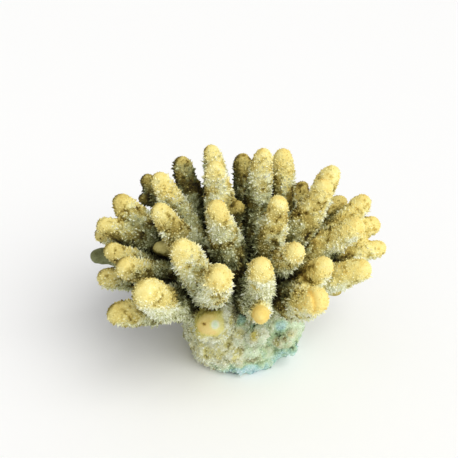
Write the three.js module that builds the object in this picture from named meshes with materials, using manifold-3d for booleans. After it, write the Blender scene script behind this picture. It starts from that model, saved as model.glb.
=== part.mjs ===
// Finger coral: a stony, many-fingered colony, cut off flat at its foot.
//
// The colony grew as one branching piece. It is modelled at its main forks: a stout holdfast that
// stands on its flat cut, and the boughs that leave the holdfast's crown and shoulders, each
// carrying one to four blunt fingers. A finger leaves its fork along a bow, thick at the fork and
// narrower at its rounded tip. Millimetres, +Z up, the front of the colony towards -Y, the origin
// in the cut face, under the middle of the holdfast.

import * as THREE from "three";
import { mergeVertices } from "three/addons/utils/BufferGeometryUtils.js";
import Module from "manifold-3d";

// Driving dimensions
const CAP = 5.6; // usual radius of a finger's rounded tip
const GIRTH = 8.8; // usual radius of a finger where it leaves its fork
const BOW = 0.09; // how far a finger's middle hangs below its chord, as a share of the chord
const GAP = 0.3; // clearance kept between neighbouring pieces

// Facets
const SIDES = 8; // round a finger
const STUMP_SIDES = 20; // round the holdfast
const RING_PITCH = 26; // the most between two rings along a finger's body
const DOME_STEPS = 2; // rings in a rounded tip

// Holdfast: radius at each height, an ellipse in plan, with low lumps round it
const STUMP_PROFILE = [
  [31, 0],
  [35, 5],
  [38.5, 14],
  [38.5, 24],
  [35, 38],
  [29, 49],
  [20, 57],
  [10, 62],
];
const STUMP_TOP = 64;
const STUMP_DEPTH = 0.86; // front to back, as a share of side to side
const LUMP = 0.035; // height of the lumps, as a share of the radius

// A worn finger, broken short, that faces the front low on the holdfast, two small knobs, and a
// lump that overhangs the bite out of the foot
const STUBS = [
  { from: [-9, -18, 42], tip: [-16, -43, 48], girth: 12.5, cap: 10 },
  { from: [6, -22, 30], tip: [11, -38, 34], girth: 6.5, cap: 4 },
  { from: [18, -18, 24], tip: [27, -31, 25], girth: 8, cap: 5 },
  { from: [22, -13, 15], tip: [29, -18, 15], girth: 9, cap: 7 },
];

// A bite out of the foot's front right edge
const BITE = { from: [44, -34, -4], tip: [29, -22, -2], girth: 12, cap: 12 };

// A finger ends in a rounded tip whose middle is at tip. It starts at from, or, where that is
// left out, at its bough's fork.
const finger = (tip, { cap = CAP, girth = GIRTH, bow = BOW, from = null } = {}) => {
  return { tip, cap, girth, bow, from };
};

// A bough leaves the holdfast's heart at root and carries its fingers from fork. limb is its radius.
const bough = (name, root, fork, limb, fingers) => ({ name, root, fork, limb, fingers });

const BOUGHS = [
  // Crown
  bough("crown_bough", [-3, 5, 46], [-10, 12, 78], 11.5, [
    finger([-18, 35, 120], { cap: 5.3, girth: 8.6 }),
    finger([-15, 5, 121], { cap: 5.6, girth: 12.2, from: [-10, 8, 76] }),
    finger([-2, 0, 100], { cap: 4, girth: 6, from: [-8, 5, 84] }),
  ]),
  bough("rear_crown_bough", [4, 8, 46], [7, 19, 78], 11, [
    finger([1, 50, 108], { girth: 8.6 }),
    finger([13, 15, 125], { cap: 5.3, girth: 9.4 }),
  ]),
  bough("centre_bough", [-2, -6, 46], [-6, -16, 74], 10.5, [
    finger([-13, -30, 113], { cap: 5.4, girth: 11 }),
  ]),
  bough("centre_right_bough", [4, -6, 46], [13, -15, 70], 10.5, [
    finger([20, -25, 113], { girth: 10.4 }),
    finger([28, -45, 95], { girth: 9 }),
  ]),
  // Left
  bough("upper_left_bough", [-8, 4, 46], [-28, 6, 80], 10, [finger([-47, 10, 112], { girth: 10 })]),
  bough("rear_left_crown_bough", [-8, 8, 46], [-25, 24, 76], 11, [
    finger([-37, 40, 110], { girth: 8.6 }),
    finger([-59, 40, 99], { cap: 5, girth: 9 }),
    finger([-62, 38, 88], { cap: 4, girth: 6, from: [-46, 34, 88] }),
  ]),
  bough("left_bough", [-10, 2, 46], [-48, 3, 77], 11, [
    finger([-70, 5, 100], { cap: 5.8, girth: 11 }),
    finger([-79, -5, 90], { cap: 5.4, girth: 9.8 }),
    finger([-86, 15, 74], { cap: 5, girth: 9.5 }),
  ]),
  bough("left_centre_bough", [-8, -4, 46], [-27, -8, 74], 10, [
    finger([-45, -15, 104], { cap: 5.5, girth: 9.6 }),
    finger([-46.5, -13, 79.5], { cap: 4.9, girth: 7 }),
  ]),
  bough("low_left_bough", [-12, -4, 44], [-42, -8, 62], 12, [
    finger([-74, -15, 79], { cap: 5.5, girth: 8 }),
    finger([-63, -35, 80], { cap: 6, girth: 9 }),
    finger([-79, -15, 61], { cap: 6, girth: 8 }),
  ]),
  bough("front_left_bough", [-12, -12, 42], [-34, -26, 52], 12, [
    finger([-48, -62, 80], { cap: 8, girth: 10 }),
    finger([-68, -45, 56], { cap: 6.8, girth: 8.6 }),
  ]),
  // Front
  bough("front_bough", [-8, -12, 44], [-18, -32, 64], 12, [
    finger([-30, -50, 99], { cap: 6.3, girth: 11 }),
    finger([-11, -72, 96], { cap: 6.4, girth: 9.5 }),
  ]),
  bough("front_centre_bough", [4, -14, 42], [8, -38, 64], 10, [
    finger([10, -62, 96], { girth: 9 }),
    finger([10, -72, 74], { cap: 4.5, girth: 7 }),
  ]),
  bough("front_right_bough", [10, -12, 42], [24, -26, 56], 12, [
    finger([45, -35, 80], { cap: 6.3, girth: 9 }),
    finger([38, -65, 78], { cap: 7.3, girth: 10.5 }),
  ]),
  // Right
  bough("upper_right_bough", [8, 2, 46], [30, 3, 77], 11, [
    finger([54, 20, 112], { cap: 5.8, girth: 8.6 }),
    finger([47, 0, 112], { girth: 11 }),
  ]),
  bough("right_bough", [12, 2, 46], [44, 3, 72], 12, [
    finger([66, -5, 89], { cap: 6.2, girth: 8.6 }),
    finger([75, 25, 91], { cap: 5.8, girth: 7.5 }),
    finger([81, 20, 78], { cap: 5.8, girth: 7.5 }),
    finger([85, 10, 67], { cap: 5 }),
  ]),
  bough("low_right_bough", [12, -4, 44], [42, -6, 56], 11, [
    finger([69, -16, 67], { cap: 7.2 }),
    finger([59, 0, 43], { cap: 4.3, girth: 6.5 }),
  ]),
  // Rear
  bough("rear_right_crown_bough", [8, 8, 46], [26, 24, 74], 11, [
    finger([26, 35, 117], { girth: 8.6 }),
    finger([40, 52, 89], { cap: 5, girth: 9.5 }),
    finger([64, 40, 84], { cap: 5, girth: 9.5 }),
  ]),
  bough("rear_low_left_bough", [-12, 8, 44], [-48, 26, 57], 14, [
    finger([-93, 25, 53], { cap: 5, girth: 10 }),
    finger([-76, 46, 74], { girth: 11 }),
    finger([-66, 56, 48], { cap: 6, girth: 11 }),
  ]),
  bough("rear_left_bough", [-8, 14, 44], [-28, 44, 60], 14.5, [
    finger([-44, 64, 82], { cap: 6, girth: 11.5 }),
    finger([-42, 78, 58], { cap: 6, girth: 11 }),
    finger([-20, 66, 84], { girth: 11 }),
    finger([-20, 74, 42], { cap: 5.5, girth: 11 }),
  ]),
  bough("rear_bough", [0, 14, 44], [4, 46, 62], 14.5, [
    finger([-8, 80, 71], { cap: 6.2, girth: 11 }),
    finger([16, 83, 58], { cap: 6, girth: 11 }),
    finger([14, 68, 88], { girth: 11.5 }),
  ]),
  bough("rear_right_bough", [8, 12, 44], [35, 38, 60], 14.5, [
    finger([38, 68, 78], { cap: 6.2, girth: 11.5 }),
    finger([60, 58, 62], { cap: 6, girth: 11 }),
    finger([70, 34, 54], { girth: 11 }),
    finger([38, 68, 44], { cap: 5.5, girth: 11 }),
  ]),
];

const stonyMaterial = (color) => {
  return new THREE.MeshStandardMaterial({ color, roughness: 0.9, metalness: 0 });
};
const FINGER_MATERIAL = stonyMaterial(0xe2d592);
const HOLDFAST_MATERIAL = stonyMaterial(0xb1c2a0);

const wasm = await Module();
wasm.setup();

// A closed three.js geometry as a manifold solid.
function solidFrom(geometry) {
  geometry.deleteAttribute("normal");
  geometry.deleteAttribute("uv");
  const merged = mergeVertices(geometry, 1e-3);
  return new wasm.Manifold(
    new wasm.Mesh({
      numProp: 3,
      vertProperties: merged.attributes.position.array,
      triVerts: new Uint32Array(merged.index.array),
    }),
  );
}

// A manifold solid as a three.js geometry.
function geometryFrom(solid) {
  const { numProp, vertProperties, triVerts } = solid.getMesh();
  const positions = new THREE.InterleavedBuffer(vertProperties, numProp);
  const geometry = new THREE.BufferGeometry();
  geometry.setAttribute("position", new THREE.InterleavedBufferAttribute(positions, 3, 0));
  geometry.setIndex(new THREE.BufferAttribute(triVerts, 1));
  return geometry;
}

// The bow from start to end, hanging below its chord by a share of the chord's length.
function bowedCurve(start, end, bow) {
  const [a, b] = [new THREE.Vector3(...start), new THREE.Vector3(...end)];
  const middle = a.clone().lerp(b, 0.5);
  middle.z -= 2 * bow * a.distanceTo(b);
  return new THREE.QuadraticBezierCurve3(a, middle, b);
}

// The outline of a rod that stands on its flat end and has a rounded tip, as a lathe profile.
function rodProfile(length, startRadius, tipRadius) {
  const profile = [new THREE.Vector2(0, 0), new THREE.Vector2(startRadius, 0)];
  const rings = Math.ceil(length / RING_PITCH);
  for (let i = 1; i <= rings; i++) {
    const t = i / rings;
    profile.push(new THREE.Vector2(THREE.MathUtils.lerp(startRadius, tipRadius, t), t * length));
  }
  for (let i = 1; i < DOME_STEPS; i++) {
    const angle = (i / DOME_STEPS) * (Math.PI / 2);
    profile.push(
      new THREE.Vector2(tipRadius * Math.cos(angle), length + tipRadius * Math.sin(angle)),
    );
  }
  profile.push(new THREE.Vector2(0, length + tipRadius));
  return profile;
}

// A tapered rod with a rounded tip, turned on a lathe and then bent along the curve.
function rodSolid(curve, startRadius, tipRadius) {
  const length = curve.getLength();
  const rod = new THREE.LatheGeometry(rodProfile(length, startRadius, tipRadius), SIDES);
  const sideways = new THREE.Vector3(0, 0, 1).cross(curve.getTangentAt(0.5));
  if (sideways.length() < 0.05) sideways.set(1, 0, 0);
  const places = rod.attributes.position;
  for (let i = 0; i < places.count; i++) {
    const along = places.getY(i);
    const t = Math.min(along / length, 1);
    const tangent = curve.getTangentAt(t);
    const side = sideways.clone().projectOnPlane(tangent).normalize();
    const place = curve
      .getPointAt(t)
      .addScaledVector(tangent, along - t * length)
      .addScaledVector(side, places.getX(i))
      .addScaledVector(tangent.cross(side), -places.getZ(i));
    places.setXYZ(i, place.x, place.y, place.z);
  }
  return solidFrom(rod);
}

// The holdfast with its stubs and its bite, grown by margin all over but at its foot.
function holdfastSolid(margin = 0) {
  const outline = STUMP_PROFILE.map(([radius, z]) => new THREE.Vector2(radius + margin, z));
  const profile = [new THREE.Vector2(0, 0), ...outline, new THREE.Vector2(0, STUMP_TOP + margin)];
  const stump = new THREE.LatheGeometry(profile, STUMP_SIDES).rotateX(Math.PI / 2);
  const places = stump.attributes.position;
  for (let i = 0; i < places.count; i++) {
    const [x, y, z] = [places.getX(i), places.getY(i), places.getZ(i)];
    const angle = Math.atan2(y, x);
    const lump = 1 + LUMP * (Math.sin(3 * angle + 0.08 * z) + Math.sin(5 * angle - 0.11 * z + 1));
    places.setXYZ(i, x * lump, y * lump * STUMP_DEPTH, z);
  }
  const straightRod = ({ from, tip, girth, cap }, growth) => {
    return rodSolid(bowedCurve(from, tip, 0), girth + growth, cap + growth);
  };
  const bitten = solidFrom(stump).subtract(straightRod(BITE, -margin));
  return STUBS.reduce((whole, stub) => whole.add(straightRod(stub, margin)), bitten);
}

// A bough's limb and its fingers in one solid, grown by margin all over.
function boughSolid({ root, fork, limb, fingers }, margin = 0) {
  const trunk = rodSolid(bowedCurve(root, fork, 0), limb + margin, limb + margin);
  return fingers.reduce((whole, { tip, cap, girth, bow, from }) => {
    return whole.add(rodSolid(bowedCurve(from ?? fork, tip, bow), girth + margin, cap + margin));
  }, trunk);
}

// The largest of a solid's bodies: what a cut leaves beyond its neighbour is dropped.
function largestBody(solid) {
  return solid.decompose().sort((a, b) => b.volume() - a.volume())[0];
}

const coral = new THREE.Group();

function addPiece(name, solid, material) {
  const mesh = new THREE.Mesh(geometryFrom(solid), material);
  mesh.name = name;
  coral.add(mesh);
}

addPiece("holdfast", holdfastSolid(), HOLDFAST_MATERIAL);

// Each bough gives way to the holdfast and to the boughs before it.
let taken = holdfastSolid(GAP);
for (const each of BOUGHS) {
  addPiece(each.name, largestBody(boughSolid(each).subtract(taken)), FINGER_MATERIAL);
  taken = taken.add(boughSolid(each, GAP));
}

export default coral;
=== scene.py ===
"""Finger coral: the visible colony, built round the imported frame.

Every CAD node is replaced by one piece of the same shape. A piece is the node's solid remeshed,
rounded and made lumpy, with the colony's growths joined to it: pointed teeth, low granules, open
cups (corallites) and needles. Each vertex carries two numbers, hue and tone, and a palette in the
material turns them into a colour. Lengths are in millimetres until a mesh is made.
"""

import itertools
import math

import bpy
import numpy as np
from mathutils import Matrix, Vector
from mathutils.bvhtree import BVHTree
from mathutils.kdtree import KDTree


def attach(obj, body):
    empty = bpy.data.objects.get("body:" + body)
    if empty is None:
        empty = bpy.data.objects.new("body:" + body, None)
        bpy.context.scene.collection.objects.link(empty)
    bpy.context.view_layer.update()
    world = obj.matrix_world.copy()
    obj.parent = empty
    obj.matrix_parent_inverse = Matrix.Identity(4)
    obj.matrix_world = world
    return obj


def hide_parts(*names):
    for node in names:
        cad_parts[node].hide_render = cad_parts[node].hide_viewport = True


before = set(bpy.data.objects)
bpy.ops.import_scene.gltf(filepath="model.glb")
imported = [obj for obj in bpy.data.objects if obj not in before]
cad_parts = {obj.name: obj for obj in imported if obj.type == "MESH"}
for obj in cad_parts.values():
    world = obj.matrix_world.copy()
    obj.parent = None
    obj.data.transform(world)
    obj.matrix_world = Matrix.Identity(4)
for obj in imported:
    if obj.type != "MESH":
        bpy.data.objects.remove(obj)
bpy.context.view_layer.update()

MM = 0.001
HOLDFAST = "holdfast"
TWO_LOBED = "front_right_bough"  # its stoutest finger ends in two lobes
SMOOTH_KNOBS = {  # where nothing has grown: a knob's middle, how far it reaches, hue and tone
    "left_centre_bough": ((-46.5, -13, 79.5), 6.0, 0.62, 0.44),
    "low_right_bough": ((58, 0, 43), 5.6, 0.46, 0.42),
    "front_centre_bough": ((10, -72, 74), 4.6, 0.12, 0.62),
    # the last knob is bare and green-grey; its low tone is painted shade, as on the shaded fingers
    "rear_low_left_bough": ((-93, 25, 53), 12.0, 1.0, 0.31),
}
SHADED_FINGERS = (  # fingers darkened by painted shade: a place on each, and how far the shade reaches from it
    ((-2, 0, 100), 9),
    ((-37, 40, 104), 17),
    ((-59, 39, 93), 16),
    ((1, 50, 102), 15),
    ((40, 52, 86), 12),
)
SHADED_SIDE = np.array([-0.8, 0.45, 0.4])  # the way that the side of every finger in painted shade faces, away from the light
STUB_TIP = np.array([-16.5, -50.7, 52.5])  # the middle of the worn stub's face
STUB_RADIUS = 8.0

# The CAD fingers
FINGER_SIDES = 8  # facets round one
RING_ANGLE = math.pi / 4  # round a cap, from its pole to the first ring of corners
UNEVEN = 0.02  # a ring's corners are as far from the pole as each other, to within this
MOST_CAP = 8.5  # the largest radius of a living tip; a bough's limb and the worn stub are stouter

# The stone under the growths
VOXEL = 1.15
ROUNDING_STEPS = 14
SWELL = 0.75  # gives back what rounding takes, and closes the gaps between the CAD solids
LUMPS = ((11.0, 1.1), (4.5, 0.6), (2.2, 0.25))  # size and height of each kind of lump
HOLDFAST_LUMPS = ((12.0, 2.0), (5.5, 1.8), (3.0, 1.2), (1.8, 0.45))
FLAT_FOOT = 1.6  # below this height the holdfast's underside is its cut
LEAN_TO = 60.0  # the height that growths lean towards where there is no fingertip
MOST_TIP = 9.0  # distances from a tip are kept up to this many of its radii

# The growths
TOOTH_SPACING = 1.8
GRANULE_SPACING = 1.2
CUP_SPACING = 3.1
CUP_SIDES = 5
NEEDLE_SPACING = 1.5
TRIES = 4.0  # random places tried in each square of the spacing
ROOT = 0.3  # how deep a growth stands in the stone
CUP_ROOT = 0.35
LOWEST = 2.0  # growths stand above this height
LOWEST_CUP = 2.5
NOTHING_GROWS = 0.03  # where less of the sky than this is seen

# How much of the sky a place sees
OPEN_RAYS = 14
OPEN_START = 2.2  # how far above the stone a ray starts
OPEN_REACH = 34.0
HOLDFAST_LIGHT = 0.15  # the holdfast's painted shade is eased, as if it saw this much more of the sky

# The stage
FLOOR_REACH = 8000.0  # from the middle to each edge
FLOOR_DROP = 0.2  # below z = 0, so that the cut doesn't lie in the floor
WORLD_STRENGTH = 0.5
KEY_FROM = (0.62, -0.66, 0.9)  # the way to the light
KEY_STRENGTH = 2.35
KEY_SPREAD = 1.0
KEY_COLOUR = (1.0, 0.995, 0.975)
LOOKED_AT = 63.0  # the height on the axis that the camera looks at
CAMERA_RISE = math.radians(30)
CAMERA_AWAY = 400.0
SENSOR = 36.0
LENS = 51.72
SHIFT = (-0.0262, 0.07205)  # in widths of the frame

rng = np.random.default_rng(59)


# Small tools


def unit(v):
    return v / np.maximum(np.linalg.norm(v, axis=-1, keepdims=True), 1e-9)


def dot(a, b):
    return (a * b).sum(-1, keepdims=True)


def smoothstep(low, high, x):
    t = np.clip((x - low) / (high - low), 0.0, 1.0)
    return t * t * (3 - 2 * t)


def drawn_to(value, target, share):
    return value + (target - value) * share


def away(points, place, radius):
    """How far points lie from a place, in radii; radius is one number or one for each axis."""
    return np.linalg.norm((points - np.asarray(place)) / radius, axis=1)


def lattice(cell, seed):
    """A number from 0 to 1 for each whole-numbered cell."""
    x, y, z = cell.T
    h = (x * 374761393 + y * 668265263 + z * 1440662683 + seed * 1274126177) & 0xFFFFFFFF
    h = ((h ^ (h >> 13)) * 1274126177) & 0xFFFFFFFF
    return ((h ^ (h >> 16)) & 0xFFFF) / 65535.0


def lumps(points, size, seed):
    """Smooth noise from -1 to 1, with lumps about size across."""
    cell = np.floor(points / size).astype(np.int64)
    part = points / size - cell
    part = part * part * (3 - 2 * part)
    total = np.zeros(len(points))
    for corner in itertools.product((0, 1), repeat=3):
        share = np.where(corner, part, 1 - part).prod(axis=1)
        total += share * lattice(cell + corner, seed)
    return 2 * total - 1


# Meshes as arrays


def solid_of(node):
    """A CAD node's vertices, merged, and its triangles."""
    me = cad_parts[node].data
    places = np.empty(len(me.vertices) * 3)
    me.vertices.foreach_get("co", places)
    places = places.reshape(-1, 3) / MM
    _, first, merged = np.unique(
        np.round(places, 3), axis=0, return_index=True, return_inverse=True
    )
    me.calc_loop_triangles()
    corners = np.empty(len(me.loop_triangles) * 3, np.int32)
    me.loop_triangles.foreach_get("vertices", corners)
    return places[first], merged.ravel()[corners].reshape(-1, 3)


def remeshed(vertices, triangles):
    """The same solid in even little faces: its vertices, and triangles."""
    me = bpy.data.meshes.new("rough")
    me.from_pydata((vertices * MM).tolist(), [], triangles.tolist())
    rough = bpy.data.objects.new("rough", me)
    bpy.context.scene.collection.objects.link(rough)
    voxels = rough.modifiers.new("voxels", "REMESH")
    voxels.mode = "VOXEL"
    voxels.voxel_size = VOXEL * MM
    even = rough.evaluated_get(bpy.context.evaluated_depsgraph_get()).to_mesh()
    places = np.empty(len(even.vertices) * 3)
    even.vertices.foreach_get("co", places)
    even.calc_loop_triangles()
    corners = np.empty(len(even.loop_triangles) * 3, np.int32)
    even.loop_triangles.foreach_get("vertices", corners)
    bpy.data.objects.remove(rough)
    bpy.data.meshes.remove(me)
    return places.reshape(-1, 3) / MM, corners.reshape(-1, 3).astype(np.int64)


def normals_of(vertices, triangles):
    a, b, c = (vertices[triangles[:, i]] for i in range(3))
    across = np.cross(b - a, c - a)
    total = np.zeros_like(vertices)
    for i in range(3):
        np.add.at(total, triangles[:, i], across)
    return unit(total)


def neighbour_table(count, triangles):
    """Each vertex's neighbours as rows of equal length, filled up with the vertex itself."""
    pairs = np.vstack([triangles[:, [0, 1]], triangles[:, [1, 2]], triangles[:, [2, 0]]])
    pairs = np.unique(np.vstack([pairs, pairs[:, ::-1]]), axis=0)
    starts = np.searchsorted(pairs[:, 0], np.arange(count + 1))
    most = int(np.diff(starts).max())
    table = np.repeat(np.arange(count)[:, None], most, axis=1)
    table[pairs[:, 0], np.arange(len(pairs)) - starts[pairs[:, 0]]] = pairs[:, 1]
    return table


def rounded(vertices, table, steps):
    """The vertices drawn step by step towards the middle of their neighbours."""
    real = (table != np.arange(len(table))[:, None])[:, :, None]
    for _ in range(steps):
        middle = (vertices[table] * real).sum(1) / real.sum(1)
        vertices = vertices + 0.5 * (middle - vertices)
    return vertices


def mesh_object(name, places, triangles, smooth, values):
    """A mesh object from arrays, the first triangles smooth.

    It carries its values at each vertex, and the map OFBake lays each vertex by the two.
    """
    me = bpy.data.meshes.new(name)
    me.vertices.add(len(places))
    me.vertices.foreach_set("co", places.ravel())
    me.loops.add(triangles.size)
    me.loops.foreach_set("vertex_index", triangles.ravel().astype(np.int32))
    me.polygons.add(len(triangles))
    me.polygons.foreach_set("loop_start", np.arange(0, triangles.size, 3, dtype=np.int32))
    me.update(calc_edges=True)
    me.polygons.foreach_set("use_smooth", np.arange(len(triangles)) < smooth)
    for key, value in values.items():
        layer = me.attributes.new(key, "FLOAT", "POINT")
        layer.data.foreach_set("value", value.astype(np.float32))
    at = np.stack(list(values.values()), 1)[triangles.ravel()] * 0.96 + 0.02
    me.uv_layers.new(name="OFBake").uv.foreach_set("vector", at.astype(np.float32).ravel())
    piece = bpy.data.objects.new(name, me)
    bpy.context.scene.collection.objects.link(piece)
    return piece


# Fingertips


def fingertips(vertices, triangles):
    """The tips of a CAD solid's fingers: (pole, way it points, cap radius) of each."""
    around = [set() for _ in vertices]
    for a, b, c in triangles.tolist():
        around[a] |= {b, c}
        around[b] |= {a, c}
        around[c] |= {a, b}
    tips = []
    for pole, first in enumerate(around):
        if len(first) != FINGER_SIDES:
            continue
        ring = vertices[list(first)]
        reach = np.linalg.norm(ring - vertices[pole], axis=1)
        if np.ptp(reach) > UNEVEN:
            continue
        middle = ring.mean(0)
        cap = np.linalg.norm(ring - middle, axis=1).mean() / math.sin(RING_ANGLE)
        if cap < MOST_CAP:
            tips.append((vertices[pole], unit(vertices[pole] - middle), cap))
    return tips


def stoutest(tips):
    return max(tips, key=lambda tip: tip[2])


def surface_distance(vertices, table, start, beside=4.0):
    """The way along the surface from a point to every vertex; straight to those beside it."""
    steps = np.linalg.norm(vertices[table] - vertices[:, None], axis=2)
    steps[table == np.arange(len(table))[:, None]] = np.inf
    straight = np.linalg.norm(vertices - start, axis=1)
    far = np.where(straight < max(beside, straight.min() + 1), straight, np.inf)
    while True:
        nearer = np.minimum(far, (far[table] + steps).min(1))
        if np.array_equal(nearer, far):
            return far
        far = nearer


def towards_tips(vertices, normals, table, far):
    """The way over the surface, at each vertex, that leads to the nearest tip."""
    over = vertices[table] - vertices[:, None]
    length2 = np.maximum((over**2).sum(2), 1e-9)
    fall = (far[:, None] - far[table]) / length2
    way = (over * fall[:, :, None]).sum(1)
    return unit(way - normals * dot(way, normals))


# How open each place is to the air round the colony


def sky_directions(count):
    """Directions spread evenly over a hemisphere about +Z, closer together near the middle."""
    i = np.arange(count) + 0.5
    height = np.sqrt(1 - i / count)
    turn = i * math.pi * (3 - math.sqrt(5))
    flat = np.sqrt(1 - height**2)
    return np.stack([flat * np.cos(turn), flat * np.sin(turn), height], 1)


def openness(points, normals, colony):
    """The share of the sky that each point sees past the rest of the colony."""
    other = np.where(np.abs(normals[:, 2:]) < 0.9, [[0, 0, 1]], [[1, 0, 0]])
    side = unit(np.cross(normals, other))
    along = np.cross(normals, side)
    seen = np.zeros(len(points))
    starts = points + normals * OPEN_START
    for x, y, z in sky_directions(OPEN_RAYS):
        ways = side * x + along * y + normals * z
        for i, (start, way) in enumerate(zip(starts.tolist(), ways.tolist())):
            if colony.ray_cast(start, way, OPEN_REACH)[0] is None:
                seen[i] += 1
    return seen / OPEN_RAYS


def colony_tree():
    """All the CAD solids as one thing to cast rays at."""
    vertices, triangles, offset = [], [], 0
    for node in sorted(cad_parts):
        solid, faces = solid_of(node)
        vertices += solid.tolist()
        triangles += (faces + offset).tolist()
        offset = len(vertices)
    return BVHTree.FromPolygons(vertices, triangles)


# Growths


def scattered(surface, spacing):
    """Points over a surface, none closer than spacing: its named arrays, taken at each point."""
    vertices, triangles = surface["place"], surface["triangles"]
    a, b, c = (vertices[triangles[:, i]] for i in range(3))
    area = np.linalg.norm(np.cross(b - a, c - a), axis=1) / 2
    area = area * (surface["open"][triangles].mean(1) > NOTHING_GROWS)
    count = int(TRIES * area.sum() / spacing**2)
    face = np.searchsorted(np.cumsum(area), rng.random(count) * area.sum())
    face = np.minimum(face, len(triangles) - 1)
    u, v = rng.random((2, count))
    u, v = np.where(u + v > 1, 1 - u, u), np.where(u + v > 1, 1 - v, v)
    share = np.stack([1 - u - v, u, v], 1)

    def at_points(values):
        weights = share.reshape(share.shape + (1,) * (values.ndim - 1))
        return (values[triangles[face]] * weights).sum(1)

    taken = {name: at_points(values) for name, values in surface.items() if name != "triangles"}
    tree = KDTree(count)
    for i, place in enumerate(taken["place"].tolist()):
        tree.insert(place, i)
    tree.balance()
    free = np.ones(count, bool)
    kept = []
    for i, place in enumerate(taken["place"].tolist()):
        if free[i]:
            kept.append(i)
            for _, other, _ in tree.find_range(place, spacing):
                free[other] = False
    return {name: values[kept] for name, values in taken.items()}


def chosen(at, keep):
    return {name: values[keep] for name, values in at.items()}


def frames_at(at, lean, scatter):
    """The way each growth points, leaning towards its tip, and the way across and outwards."""
    normal = unit(at["normal"])
    tipward = unit(at["tipward"] - normal * dot(at["tipward"], normal))
    wander = rng.normal(size=normal.shape) * scatter
    axis = unit(normal * np.cos(lean)[:, None] + tipward * np.sin(lean)[:, None] + wander)
    outward = unit(normal - axis * dot(normal, axis) + 1e-4)
    return axis, np.cross(outward, axis), outward


def rings(count, sides, across, outward):
    """Corners evenly round each growth's axis, from a random start."""
    turn = np.arange(sides) * 2 * math.pi / sides + rng.random((count, 1)) * 2 * math.pi
    return (
        outward[:, None] * np.cos(turn)[:, :, None] + across[:, None] * np.sin(turn)[:, :, None]
    )


def repeated(sides, count, per):
    return ((np.arange(count) * per)[:, None, None] + sides).reshape(-1, 3)


def points_on(at, sides, width, height, lean, scatter, low_crest):
    """Pointed growths with this many sides: vertices, triangles and each vertex's crest."""
    count = len(width)
    axis, across, outward = frames_at(at, lean, scatter)
    ring = rings(count, sides, across, outward) * rng.uniform(0.7, 1.25, (count, sides, 1))
    low = at["place"][:, None] + ring * width[:, None, None] - unit(at["normal"])[:, None] * ROOT
    point = at["place"] + axis * height[:, None]
    places = np.concatenate([low, point[:, None]], 1)
    a = np.arange(sides)
    faces = np.stack([a, (a + 1) % sides, 0 * a + sides], 1)
    crest = np.full((count, sides + 1), low_crest)
    crest[:, sides] = 1
    return places.reshape(-1, 3), repeated(faces, count, sides + 1), crest.ravel(), sides + 1


def cups_on(at, size, height):
    """Little open cups with a ragged lip: vertices, triangles and each vertex's crest."""
    count = len(size)
    axis, across, outward = frames_at(at, rng.uniform(0.3, 0.8, count), 0.12)
    turn = np.arange(CUP_SIDES) * 2 * math.pi / CUP_SIDES
    ring = outward[:, None] * np.cos(turn)[:, None] + across[:, None] * np.sin(turn)[:, None]
    lip = 1 + 0.8 * np.maximum(np.cos(turn), 0) ** 2
    lip = lip * rng.uniform(0.8, 1.3, (count, CUP_SIDES))
    root = unit(at["normal"])[:, None] * CUP_ROOT
    low = at["place"][:, None] + ring * (0.55 * size)[:, None, None] - root
    rise = (height[:, None] * lip)[:, :, None] * axis[:, None]
    high = at["place"][:, None] + ring * (0.4 * size)[:, None, None] + rise
    pit = at["place"] + axis * (0.15 * height)[:, None]
    places = np.concatenate([low, high, pit[:, None]], 1)
    a = np.arange(CUP_SIDES)
    b = (a + 1) % CUP_SIDES
    top, bottom = a + CUP_SIDES, 2 * CUP_SIDES + 0 * a
    faces = np.vstack(
        [
            np.stack([a, b, b + CUP_SIDES], 1),
            np.stack([a, b + CUP_SIDES, top], 1),
            np.stack([top, b + CUP_SIDES, bottom], 1),
        ]
    )
    per = 2 * CUP_SIDES + 1
    crest = np.zeros((count, per))
    crest[:, CUP_SIDES : 2 * CUP_SIDES] = 0.75
    # the pit at the cup's middle, which the colours darken as painted shade
    crest[:, 2 * CUP_SIDES] = -1.2
    return places.reshape(-1, 3), repeated(faces, count, per), crest.ravel(), per


def teeth(surface):
    """Stout crystals, in clumps, that grow longer away from the tip."""
    at = scattered(surface, TOOTH_SPACING)
    at = chosen(at, (at["place"][:, 2] > LOWEST) & (at["grown"] > 0.05))
    grown, clump = at["grown"], 0.8 + 0.5 * lumps(at["place"], 5.0, 11)
    height = 0.45 + grown * clump * (0.5 + 2.1 * rng.random(len(grown)) ** 1.3)
    width = rng.uniform(0.6, 1.0, len(grown)) * (0.8 + 0.17 * height)
    lean = rng.uniform(0.0, 0.75, len(grown))
    lift = np.minimum(1.0, 0.3 + height / 2.2)
    return points_on(at, 4, width, height, lean, scatter=0.25, low_crest=0.62), at, lift


def granules(surface):
    """Low grains all over, on the tips too."""
    at = scattered(surface, GRANULE_SPACING)
    at = chosen(at, (at["place"][:, 2] > LOWEST) & (rng.random(len(at["bare"])) > at["bare"]))
    height = rng.uniform(0.35, 0.8, len(at["bare"])) * (1 + 0.5 * at["grown"])
    width = rng.uniform(0.45, 0.75, len(height))
    upright = np.zeros(len(height))
    lift = 0.2 + 0.15 * at["grown"]
    return points_on(at, 3, width, height, upright, scatter=0.3, low_crest=0.4), at, lift


def cups(surface):
    """Open cups, on all but the tips, that stand taller away from them."""
    at = scattered(surface, CUP_SPACING)
    at = chosen(at, (at["tip"] > 0.9) & (at["place"][:, 2] > LOWEST_CUP) & (at["bare"] < 0.5))
    grown = at["grown"]
    size = rng.uniform(1.4, 2.1, len(grown)) * (0.7 + 0.3 * grown)
    height = (0.25 + 1.1 * grown) * rng.uniform(0.6, 1.25, len(grown))
    return cups_on(at, size, height), at, 0.4 + 0.5 * grown


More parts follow.
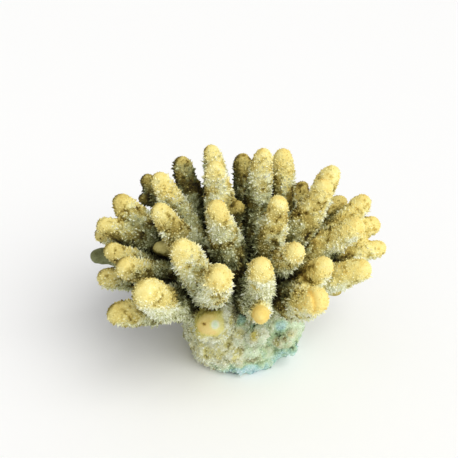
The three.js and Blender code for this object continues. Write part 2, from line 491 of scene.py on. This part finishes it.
def needles(surface):
    """Fine crystals where much has grown."""
    at = scattered(surface, NEEDLE_SPACING)
    at = chosen(at, (at["grown"] > 0.35) & (at["place"][:, 2] > LOWEST))
    grown = at["grown"]
    width = rng.uniform(0.26, 0.46, len(grown))
    height = grown * (0.9 + 2.3 * rng.random(len(grown)) ** 2)
    lean = rng.uniform(0.0, 0.9, len(grown))
    lift = np.minimum(1.0, height / 1.2)
    return points_on(at, 3, width, height, lean, scatter=0.3, low_crest=0.5), at, lift


# The stone under the growths


def bumpy(vertices, normals, kinds, amount):
    """The vertices lifted by lumps of each kind, more where amount is more."""
    for seed, (size, height) in enumerate(kinds):
        lift = height * lumps(vertices, size, seed) * amount
        vertices = vertices + normals * lift[:, None]
    return vertices


def off_seam(vertices, tip):
    """How far each vertex is to the side of a finger's seam, and how near it is to the tip."""
    pole, way, cap = tip
    side = unit(np.cross(way, [0, 0, 1]))
    off = ((vertices - pole) @ side) - 0.4 * cap
    return off, 1 - smoothstep(0.9, 1.6, away(vertices, pole, cap))


def cleft(vertices, tip):
    """A seam across a finger's tip, from top to bottom, that parts it into two lobes."""
    off, near = off_seam(vertices, tip)
    depth = 1.5 * np.exp(-((off / 1.1) ** 2)) * near
    return vertices - depth[:, None] * tip[1]


def stone_of(node):
    """A node's stone: places, triangles, normals, neighbours, distances from tips, and tips.

    The first distance is in the radii of the tip, and the second in millimetres.
    """
    solid, faces = solid_of(node)
    is_holdfast = node == HOLDFAST
    tips = [] if is_holdfast else fingertips(solid, faces)
    vertices, triangles = remeshed(solid, faces)
    table = neighbour_table(len(vertices), triangles)
    vertices = rounded(vertices, table, ROUNDING_STEPS)
    normals = normals_of(vertices, triangles)
    vertices = vertices + normals * SWELL
    tip = np.full(len(vertices), MOST_TIP)
    far = LEAN_TO - vertices[:, 2]
    for pole, _, cap in tips:
        way = surface_distance(vertices, table, pole)
        nearer = way / cap < tip
        tip[nearer] = way[nearer] / cap
        far[nearer] = way[nearer]
    calm = 0.3 + 0.7 * smoothstep(0.6, 2.4, tip)
    if is_holdfast:
        calm = smoothstep(0.8, 1.5, away(vertices, STUB_TIP, STUB_RADIUS))
    vertices = bumpy(vertices, normals, HOLDFAST_LUMPS if is_holdfast else LUMPS, calm)
    if node == TWO_LOBED:
        vertices = cleft(vertices, stoutest(tips))
    normals = normals_of(vertices, triangles)
    if is_holdfast:
        foot = (vertices[:, 2] < FLAT_FOOT) & (normals[:, 2] < -0.6)
        vertices[foot, 2] = 0
        vertices[:, 2] = np.maximum(vertices[:, 2], 0)
    return vertices, triangles, normals, table, tip, far, tips


# The colours, as they look. Each row is one hue, and along it the tone rises as in TONES, from a
# dark recess in painted shade to a white crest.
TONES = (0.02, 0.25, 0.45, 0.62, 0.82, 1.0)
FINGER_COLOURS = (  # from orange to bleached
    ((34, 24, 6), (132, 96, 32), (206, 162, 74), (236, 196, 96), (246, 217, 116), (250, 234, 154)),
    ((36, 27, 7), (134, 112, 42), (208, 186, 102), (238, 219, 134), (246, 235, 158), (250, 244, 184)),
    ((36, 28, 9), (122, 108, 44), (198, 184, 108), (238, 226, 152), (248, 241, 182), (253, 249, 206)),
    ((35, 29, 11), (108, 102, 50), (178, 172, 114), (224, 222, 170), (243, 242, 206), (252, 251, 228)),
    ((33, 31, 14), (96, 99, 60), (163, 168, 123), (212, 216, 175), (238, 241, 212), (250, 252, 240)),
)
ORANGE = ((36, 28, 10), (136, 104, 48), (198, 158, 84), (226, 192, 108), (238, 214, 148), (246, 232, 184))
YELLOW = ((36, 32, 14), (116, 106, 44), (174, 164, 82), (208, 200, 112), (228, 224, 154), (242, 240, 194))
CREAM = ((40, 38, 24), (112, 108, 78), (168, 166, 128), (204, 204, 170), (226, 228, 204), (242, 246, 232))
GREEN = ((32, 42, 30), (92, 106, 74), (146, 166, 126), (184, 204, 160), (208, 224, 192), (232, 242, 222))
TEAL = ((26, 42, 40), (76, 106, 96), (126, 162, 150), (160, 198, 184), (190, 220, 210), (220, 240, 232))
BLUE = ((40, 56, 62), (98, 130, 140), (144, 180, 190), (172, 206, 214), (198, 224, 230), (226, 240, 244))
HOLDFAST_COLOURS = (ORANGE, YELLOW, CREAM, GREEN, TEAL, BLUE)
HUES = {  # where each of them lies from 0 to 1
    name: i / (len(HOLDFAST_COLOURS) - 1)
    for i, name in enumerate(("orange", "yellow", "cream", "green", "teal", "blue"))
}
HOLDFAST_MARKS = (  # where, its radii, what hue, tone and how strongly
    ((23, -23, 33), (4, 4, 3.5), HUES["blue"], 0.78, 0.8),
    ((1, -28, 41), (5, 5, 4), HUES["blue"] - 0.08, 0.55, 0.6),
    ((22, -32, 26), (5, 4, 3), HUES["yellow"] + 0.03, 0.55, 0.8),
    ((30, -21, 25), (4, 4, 3), HUES["yellow"] + 0.06, 0.5, 0.75),
    ((8, -38, 36), (2.6, 3, 3.6), HUES["orange"] + 0.06, 0.6, 0.7),
    ((5, -32, 14), (5, 4, 3.5), HUES["cream"], 0.3, 0.85),
    ((10, -30, 37), (7, 5, 2), HUES["teal"], 0.84, 0.7),
    ((13, -33, 34), (4, 8, 5), HUES["cream"], 0.86, 0.7),
    ((-3, -33, 50), (5, 6, 6), HUES["cream"], 0.1, 0.9),
    ((-12, -27, 8), (3.4, 3.4, 3.4), HUES["green"], 0.3, 0.6),
    ((26, -33, 29), (1.6, 3, 1.6), HUES["yellow"], 0.15, 0.8),
)


# Painting the stone: hue, tone, and how far growths have grown, at each place


def kept_in_painted_shade(sky):
    """How much of its own tone a place keeps under painted shade, from how open it is."""
    return 0.04 + 0.96 * smoothstep(0.05, 0.6, sky)


def tinted(hue, tone, colour, shade, share):
    """Hue and tone, both drawn towards others by the same share."""
    return drawn_to(hue, colour, share), drawn_to(tone, shade, share)


def bough_shade_at(place):
    """Painted shade on the boughs: at the back, below the crown, and on some fingers further forward."""
    _, y, z = place.T
    bough_shade = smoothstep(24, 44, y) * (1 - smoothstep(108, 118, z))
    for where, reaching in SHADED_FINGERS:
        bough_shade = np.maximum(bough_shade, 1.3 * (1 - smoothstep(0.6, 1.3, away(place, where, reaching))))
    return bough_shade


def paint_lobes(place, tip, hue, tone):
    """The two-lobed tip, golden, with a darker seam."""
    off, near = off_seam(place, tip)
    seam = np.exp(-(off**2)) * near
    hue = drawn_to(hue, 0.16, near) - 0.12 * seam
    tone = drawn_to(tone, 0.78, 0.7 * near) - 0.16 * seam
    return hue, tone


def paint_fingers(node, place, normal, tip, sky, tips):
    """A bough: yellow tips that turn to white spiky flanks and olive hollows further down, with painted
    shade in the hollows, on the lower left, on the side away from the light and on the boughs behind.
    """
    x, up = place[:, 0], normal[:, 2]
    broad, mid, fine = (lumps(place, size, 20 + i) for i, size in enumerate((12, 5, 2.4)))
    left, right = smoothstep(-40, -78, x), smoothstep(-35, 55, x)
    reach = tip - 1.3 * (up - 0.1) + 0.9 * broad + 0.8 * mid + 0.5 * fine - 0.5 * right
    # painted shade deep among the boughs, far from the tips: darker and browner
    deep_in_shade = smoothstep(3.6, 7.0, tip + 0.8 * broad)
    under = smoothstep(-0.05, -0.6, up) * smoothstep(0.8, 2.0, tip)
    frost = smoothstep(-0.5, 0.15, lumps(place, 6.5, 33) + 0.35 * fine)
    olive = (1 - frost) * smoothstep(1.4, 3.2, reach)
    white = frost * smoothstep(0.9, 4.4, reach) * (1 - 0.5 * np.maximum(left, right))
    pores = smoothstep(0.2, 0.65, lumps(place, 2.1, 31)) * smoothstep(0.2, 1.6, tip)
    # painted shade on the side of each finger that faces away from the light
    shaded_side = smoothstep(0.15, 0.95, normal @ SHADED_SIDE) * (1 - 0.8 * right)
    # painted shade on the boughs at the back below the crown, and on some listed fingers
    bough_shade = bough_shade_at(place)

    grown = smoothstep(-0.6, 3.0, reach) * (1 - 0.2 * right) * (0.45 + 0.55 * frost)
    bleach = smoothstep(0.8, 4.6, reach) * (1 - 0.35 * right) * (0.2 + 0.8 * frost)

    hue = 0.33 + 0.06 * left + 0.2 * smoothstep(0.2, 3.4, reach)
    hue = hue + 0.18 * smoothstep(2.6, 5.0, reach) + 0.12 * smoothstep(4.4, 7.0, reach)
    hue = hue + 0.06 * mid + 0.05 * fine - 0.05 * right
    # painted shade: the upward tops of the tips turn orange, as the light falls from the front
    hue = hue - 0.1 * smoothstep(0.5, 0.95, up) * smoothstep(2.0, 0.3, tip)
    hue = hue + 0.3 * under * right - 0.08 * deep_in_shade - 0.16 * olive + 0.18 * white
    hue = hue - 0.1 * pores + 0.1 * shaded_side + 0.06 * bough_shade

    tone = 0.7 - 0.1 * smoothstep(0.0, 3.0, reach) + 0.07 * fine + 0.05 * mid + 0.04 * broad
    # painted shade darkens the lower left fingers, the far left, the depths among the boughs, the side
    # away from the light and the shaded boughs
    tone = tone - 0.22 * smoothstep(2.4, 5.4, tip) * smoothstep(-20, -50, x)
    tone = tone - 0.12 * deep_in_shade + 0.1 * under * right - 0.18 * olive + 0.06 * white - 0.14 * left
    tone = tone - (0.3 - 0.14 * white) * pores - 0.34 * shaded_side - 0.22 * bough_shade

    bare = np.zeros(len(place))
    if node in SMOOTH_KNOBS:
        knob, reaching, colour, shade = SMOOTH_KNOBS[node]
        bare = 1 - smoothstep(0.9, 1.25, away(place, knob, reaching))
        hue, tone = tinted(hue, tone, colour + 0.06 * fine, shade + 0.05 * fine, bare)
    grown = grown * (1 - bare)
    if node == TWO_LOBED:
        hue, tone = paint_lobes(place, stoutest(tips), hue, tone)
    # painted shade: the less of the sky a place sees, the darker it is
    tone = tone * kept_in_painted_shade(sky)
    return dict(grown=grown, bleach=bleach, bare=bare, bough_shade=bough_shade.clip(0, 1), hue=hue, tone=tone)


def paint_stub(place, broad, mid, fine, hue, tone):
    """The worn stub's face, ring, pale spot and the painted shade of a slit, and how far each place is
    from its face.
    """
    to_right, above = place[:, 0] - STUB_TIP[0], place[:, 2] - STUB_TIP[2]
    across = np.array([1.0, 0.0, -0.05])
    edge = away(place, STUB_TIP - [0.6, 0, 0.6], (8.7, 9.0, 7.0)) + 0.12 * mid + 0.08 * fine
    ring = 0.75 * (1 - smoothstep(0.95, 1.9, edge + 0.035 * to_right))
    ring = ring * smoothstep(9.0, -3.0, to_right - above)
    hue, tone = tinted(hue, tone, 0.14, 0.45, ring)
    face = 1 - smoothstep(0.66, 1.1, edge)
    hue, tone = tinted(hue, tone, 0.06 + 0.06 * broad, 0.72 + 0.05 * fine, face)
    lemon = face * smoothstep(1.0, 6.0, to_right) * (1 - smoothstep(-0.2, 0.5, mid))
    hue = drawn_to(hue, HUES["yellow"] + 0.02, lemon)
    from_spot = away(place, STUB_TIP + 2.2 * across, (2.4, 4, 2.4)) + 0.2 * fine
    spot = 0.85 * (1 - smoothstep(0.4, 1.4, from_spot))
    hue, tone = tinted(hue, tone, HUES["green"] + 0.1, 0.8, spot)
    # a dark slit: painted shade standing for a hole in the face
    slit = 1 - smoothstep(0.5, 1.1, away(place, STUB_TIP - 3.8 * across, (1.5, 4, 0.6)))
    return hue, drawn_to(tone, 0.12, slit), edge


def paint_holdfast(place, normal, sky):
    """The holdfast: cream with yellow flecks, green at the right, teal and blue low down."""
    x, _, z = place.T
    broad, mid, fine = (lumps(place, size, 40 + i) for i, size in enumerate((14, 6, 2.6)))
    speck = lumps(place, 1.9, 45)
    fleck = lumps(place * (1, 1, 0.55), 2.8, 46)
    blotch = lumps(place * (1, 1, 0.8), 4.4, 47) + 0.5 * mid + 0.3 * speck
    right = smoothstep(-6, 16, x + 8 * broad)
    yellowed = smoothstep(0.0, 0.45, blotch) * (1 - 0.7 * right)
    low = 1 - smoothstep(3, 13, z + 5 * broad + 3 * mid - 0.16 * (x + 14))
    side = smoothstep(10, 24, x + 4 * mid) * (1 - smoothstep(8, 22, z + 6 * broad))
    sea = HUES["blue"] - 0.16 * smoothstep(8, 24, x) + 0.06 * mid
    flecked = 0.6 * smoothstep(0.0, -0.5, fleck) * (1 - 0.6 * right)

    hue = drawn_to(HUES["cream"] + 0.03 * mid, HUES["green"] + 0.1 * mid, right)
    hue = drawn_to(hue, HUES["yellow"] + 0.06, 0.9 * yellowed)
    hue = drawn_to(hue, sea, 0.85 * low * smoothstep(-26, -4, x))
    hue = drawn_to(hue, HUES["teal"] + 0.08 * mid, 0.85 * side)
    hue = drawn_to(hue, HUES["yellow"] + 0.06, flecked)

    relief = sum(
        lumps(place, size, seed) * height for seed, (size, height) in enumerate(HOLDFAST_LUMPS)
    )
    # painted light on the rises of the lumps and painted shade in their hollows
    tone = 0.68 + 0.05 * fine + 0.1 * smoothstep(-2, 2, relief)
    tone = tone - 0.2 * smoothstep(0.2, -2.6, relief)
    tone = tone - 0.3 * smoothstep(0.25, 0.7, speck) - 0.2 * smoothstep(0.3, 0.75, fine)
    # darker at the far left: painted shade, away from the light
    tone = tone + 0.12 * fleck - 0.1 * smoothstep(-22, -36, x) - 0.1 * yellowed

    for where, radii, colour, shade, strength in HOLDFAST_MARKS:
        near = strength * (1 - smoothstep(0.4, 1.4, away(place, where, radii) + 0.3 * fine))
        hue, tone = tinted(hue, tone, colour, shade, near)
    hue, tone, edge = paint_stub(place, broad, mid, fine, hue, tone)
    grown = (0.55 + 0.35 * mid) * (1 - 0.45 * right) * smoothstep(0.9, 1.6, edge)
    bare = 1 - smoothstep(0.65, 1.0, edge)
    is_cut = (normal[:, 2] < -0.8) * (z < 1)
    tone = drawn_to(tone, 0.5, 0.5 * is_cut)
    # painted shade: the less of the sky a place sees, the darker it is
    tone = tone * kept_in_painted_shade(sky + HOLDFAST_LIGHT)
    none = np.zeros(len(place))
    return dict(grown=grown, bleach=none, bare=bare, bough_shade=none, hue=hue, tone=tone)


# The pieces


def surface_of(node, colony):
    """A node's stone as named arrays: what the growths stand on, and its colours."""
    place, triangles, normal, table, tip, far, tips = stone_of(node)
    sky = openness(place, normal, colony)
    if node == HOLDFAST:
        painted = paint_holdfast(place, normal, sky)
    else:
        painted = paint_fingers(node, place, normal, tip, sky, tips)
    return {
        "place": place,
        "triangles": triangles,
        "normal": normal,
        "tipward": towards_tips(place, normal, table, far),
        "tip": tip,
        "open": sky,
        **painted,
    }


def growth_colours(crest, at, lift, per, is_holdfast):
    """Hue and tone at each vertex of a kind of growth, from those of the stone it stands on."""

    def spread(values):
        return np.repeat(values, per)

    shade = kept_in_painted_shade(at["open"] + (HOLDFAST_LIGHT if is_holdfast else 0.0))
    unlike = 0.55 if is_holdfast else 1.0  # how much a growth differs from those beside it
    own = 0.12 * unlike * rng.normal(size=len(lift))
    # a crest is whiter, its own colour; a cup's pit is darker, painted shade; both are muted by painted
    # shade where little sky is seen and on the shaded boughs
    rise = 0.5 * lift * (1 - 0.45 * at["bare"]) * (1 - 0.6 * at["bough_shade"]) + own
    crest_white_and_pit_shade = np.where(crest > 0, crest * spread(rise), 0.22 * crest)
    tone = spread(at["tone"]) + spread(shade) * crest_white_and_pit_shade
    hue = spread(at["hue"] + 0.08 * unlike * rng.normal(size=len(lift)))
    hue = hue + np.maximum(crest, 0) * spread(lift * (0.05 + 0.4 * at["bleach"]))
    return hue, tone


def make_piece(node, colony, material):
    """Makes the piece that stands for a node, and returns its number of triangles."""
    is_holdfast = node == HOLDFAST
    surface = surface_of(node, colony)
    places, triangles = [surface["place"]], [surface["triangles"]]
    hues, tones = [surface["hue"]], [surface["tone"]]
    smooth = len(surface["triangles"])  # the stone's own, and none of its growths'
    offset = len(surface["place"])
    for grow in (teeth, granules, cups, needles):
        (more, faces, crest, per), at, lift = grow(surface)
        more[:, 2] = np.maximum(more[:, 2], 0)
        hue, tone = growth_colours(crest, at, lift, per, is_holdfast)
        places.append(more)
        triangles.append(faces + offset)
        hues.append(hue)
        tones.append(tone)
        offset += len(more)
    piece = mesh_object(
        node + "_stone",
        np.vstack(places) * MM,
        np.vstack(triangles),
        smooth,
        {"hue": np.concatenate(hues).clip(0, 1), "tone": np.concatenate(tones).clip(0, 1)},
    )
    piece.data.materials.append(material)
    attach(piece, "root")
    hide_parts(node)
    return len(piece.data.polygons)


# Materials


class Nodes:
    """A material's node tree, written as small formulas."""

    def __init__(self, name):
        self.material = bpy.data.materials.new(name)
        self.material.use_nodes = True
        self.tree = self.material.node_tree
        self.shader = self.tree.nodes["Principled BSDF"]

    def new(self, kind):
        return self.tree.nodes.new(kind)

    def put(self, value, socket):
        if isinstance(value, bpy.types.NodeSocket):
            self.tree.links.new(value, socket)
        else:
            socket.default_value = value

    def attribute(self, name):
        node = self.new("ShaderNodeAttribute")
        node.attribute_name = name
        return node.outputs["Fac"]

    def maths(self, operation, a, b):
        node = self.new("ShaderNodeMath")
        node.operation = operation
        self.put(a, node.inputs[0])
        self.put(b, node.inputs[1])
        return node.outputs[0]

    def wavering(self, value, amount, noise):
        """The value, moved up and down by up to half of amount."""
        return self.maths(
            "ADD", value, self.maths("MULTIPLY", self.maths("SUBTRACT", noise, 0.5), amount)
        )

    def share(self, low, high, value):
        """0 below low, 1 above high."""
        node = self.new("ShaderNodeMapRange")
        node.inputs["From Min"].default_value = low
        node.inputs["From Max"].default_value = high
        self.put(value, node.inputs["Value"])
        return node.outputs["Result"]

    def noise(self, size, detail, roughness):
        """Noise from 0 to 1 with features about size millimetres across."""
        node = self.new("ShaderNodeTexNoise")
        node.inputs["Scale"].default_value = 1 / (size * MM)
        node.inputs["Detail"].default_value = detail
        node.inputs["Roughness"].default_value = roughness
        places = self.new("ShaderNodeTexCoord").outputs["Object"]
        self.put(places, node.inputs["Vector"])
        return node.outputs["Fac"]

    def mix(self, share, a, b):
        node = self.new("ShaderNodeMix")
        node.data_type = "RGBA"
        self.put(share, node.inputs["Factor"])
        colours = [s for s in node.inputs if s.type == "RGBA"]
        self.put(a, colours[0])
        self.put(b, colours[1])
        return next(s for s in node.outputs if s.type == "RGBA")

    def ramp(self, value, colours):
        """The colours, evenly spaced from 0 to 1."""
        node = self.new("ShaderNodeValToRGB")
        stops = node.color_ramp.elements
        for i, colour in enumerate(colours):
            place = i / (len(colours) - 1)
            stop = stops[i] if i < 2 else stops.new(place)
            stop.position, stop.color = place, srgb(*colour)
        self.put(value, node.inputs["Fac"])
        return node.outputs["Color"]

    def palette(self, hue, tone, colours):
        """A colour from rows of one hue, along which the tone rises as in TONES."""
        by_tone = list(zip(*colours))
        colour = self.ramp(hue, by_tone[0])
        for low, high, lighter in zip(TONES, TONES[1:], by_tone[1:]):
            colour = self.mix(self.share(low, high, tone), colour, self.ramp(hue, lighter))
        return colour

    def bump(self, height, distance):
        node = self.new("ShaderNodeBump")
        node.inputs["Distance"].default_value = distance * MM
        node.inputs["Strength"].default_value = 1.0
        self.put(height, node.inputs["Height"])
        self.put(node.outputs["Normal"], self.shader.inputs["Normal"])

    def finish(self, colour, roughness):
        self.put(colour, self.shader.inputs["Base Color"])
        self.put(roughness, self.shader.inputs["Roughness"])
        self.shader.inputs["Specular IOR Level"].default_value = 0.25
        return self.material


def srgb(r, g, b):
    """A colour given as it looks, from 0 to 255, as the linear numbers that Blender takes."""
    parts = [x / 255 for x in (r, g, b)]
    return [x / 12.92 if x < 0.04045 else ((x + 0.055) / 1.055) ** 2.4 for x in parts] + [1]


def stone_material(name, colours):
    n = Nodes(name)
    grain = n.noise(size=0.9, detail=3, roughness=0.65)
    patchy = n.noise(size=3.5, detail=3, roughness=0.6)
    hue = n.wavering(n.attribute("hue"), amount=0.12, noise=patchy)
    tone = n.wavering(n.attribute("tone"), amount=0.22, noise=grain)
    tone = n.wavering(tone, amount=0.12, noise=patchy)
    n.bump(n.maths("ADD", grain, patchy), distance=0.4)
    roughness = n.wavering(0.84, amount=0.25, noise=grain)
    return n.finish(n.palette(hue, tone, colours), roughness)


# Stage


def make_floor():
    far = FLOOR_REACH * MM
    me = bpy.data.meshes.new("floor")
    corners = [(-far, -far, 0), (far, -far, 0), (far, far, 0), (-far, far, 0)]
    me.from_pydata(corners, [], [(0, 1, 2, 3)])
    me.materials.append(Nodes("floor").finish((0.97, 0.97, 0.97, 1), 0.9))
    floor = bpy.data.objects.new("floor", me)
    floor.location.z = -FLOOR_DROP * MM
    bpy.context.scene.collection.objects.link(floor)


def light_the_stage():
    """A white world, and one broad light from the camera's right."""
    world = bpy.data.worlds.new("studio")
    world.use_nodes = True
    world.node_tree.nodes["Background"].inputs["Color"].default_value = (1, 1, 1, 1)
    world.node_tree.nodes["Background"].inputs["Strength"].default_value = WORLD_STRENGTH
    bpy.context.scene.world = world
    light = bpy.data.lights.new("key", "SUN")
    light.energy = KEY_STRENGTH
    light.angle = KEY_SPREAD
    light.color = KEY_COLOUR
    lamp = bpy.data.objects.new("key", light)
    lamp.rotation_euler = Vector(KEY_FROM).to_track_quat("Z", "Y").to_euler()
    bpy.context.scene.collection.objects.link(lamp)


def place_camera():
    """Looks down at the colony's front."""
    target = Vector((0, 0, LOOKED_AT * MM))
    back = Vector((0, -math.cos(CAMERA_RISE), math.sin(CAMERA_RISE))) * (CAMERA_AWAY * MM)
    camera = bpy.data.cameras.new("camera")
    camera.sensor_width = SENSOR
    camera.lens = LENS
    camera.shift_x, camera.shift_y = SHIFT
    seat = bpy.data.objects.new("camera", camera)
    seat.location = target + back
    seat.rotation_euler = (-back).to_track_quat("-Z", "Y").to_euler()
    bpy.context.scene.collection.objects.link(seat)
    bpy.context.scene.camera = seat


place_camera()
light_the_stage()
make_floor()
bpy.context.scene.view_settings.view_transform = "Standard"

colony = colony_tree()
finger_stone = stone_material("finger_stone", FINGER_COLOURS)
holdfast_stone = stone_material("holdfast_stone", HOLDFAST_COLOURS)
counts = []
for node in sorted(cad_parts):
    material = holdfast_stone if node == HOLDFAST else finger_stone
    counts.append(make_piece(node, colony, material))
print("triangles", sum(counts), "the most in a piece", max(counts))
